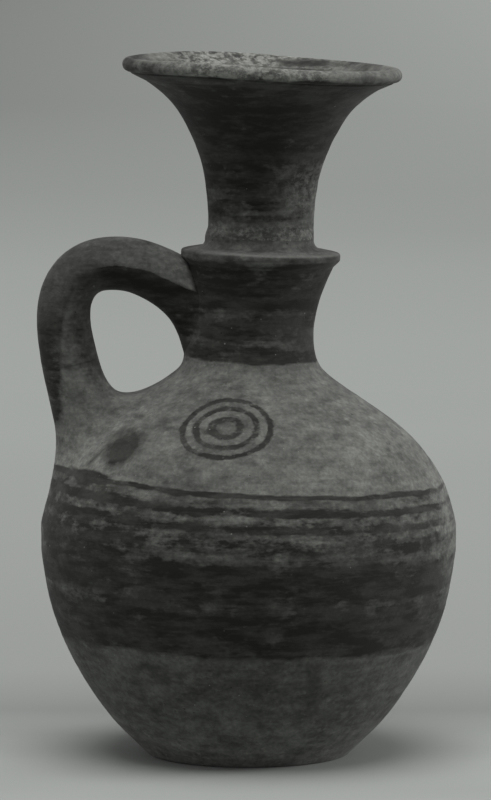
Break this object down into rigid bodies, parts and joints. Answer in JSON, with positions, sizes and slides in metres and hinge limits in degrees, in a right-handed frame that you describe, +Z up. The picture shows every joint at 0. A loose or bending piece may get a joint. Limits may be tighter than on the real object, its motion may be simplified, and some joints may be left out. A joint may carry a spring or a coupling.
{
  "type": "pottery jug",
  "caption": "Round-bodied pottery jug with a ridged neck, a wide trumpet mouth, a loop handle from ridge to shoulder, and painted bands and circles.",
  "frame": {"origin": "middle of the flat base, on the surface that the jug stands on", "axes": "+Z up along the body's axis, the handle points along -X, and +Y is away from the side with the painted circles"},
  "size_m": [0.1508, 0.1496, 0.2517],
  "materials": {
    "body_clay": "matt fired clay with dark painted bands and circles",
    "neck_clay": "matt fired clay under worn dark paint, with lime crust on the lip",
    "handle_clay": "matt fired clay, speckled, with a worn painted stripe down the back",
    "luting_clay": "matt fired clay smoothed over by hand"
  },
  "bodies": {
    "root": {"lower_body": "body_clay", "shoulder": "body_clay", "belly_seam_coil": "luting_clay", "neck": "neck_clay", "neck_seam_coil": "luting_clay", "mouth": "neck_clay", "mouth_seam_coil": "luting_clay", "handle": "handle_clay", "handle_top_wad": "luting_clay", "handle_root_wad": "luting_clay"}
  },
  "joints": []
}
